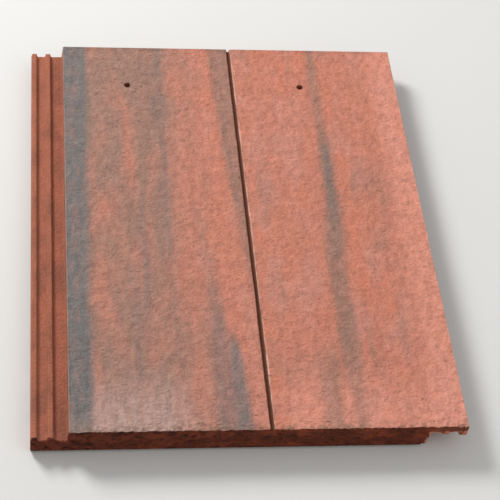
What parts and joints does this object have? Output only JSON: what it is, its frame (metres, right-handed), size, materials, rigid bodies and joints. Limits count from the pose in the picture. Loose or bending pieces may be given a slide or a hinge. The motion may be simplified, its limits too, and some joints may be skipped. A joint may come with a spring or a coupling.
{
  "type": "clay roof tile",
  "caption": "Flat interlocking roof tile with a mock joint groove in its face, a ribbed side lock, a deep tail nose, hanging nibs and nail holes.",
  "frame": {"origin": "middle of the tile on the plane that its tail nose and nib tips rest on", "axes": "+Y from the tail up to the head, +Z out of the weathered face, +X to the right seen from the tail"},
  "size_m": [0.325, 0.42, 0.026],
  "materials": {
    "fired_body": "matt and sandy, terracotta with grey streaks from tail to head"
  },
  "bodies": {
    "root": {"roof_tile": "fired_body"}
  },
  "joints": []
}
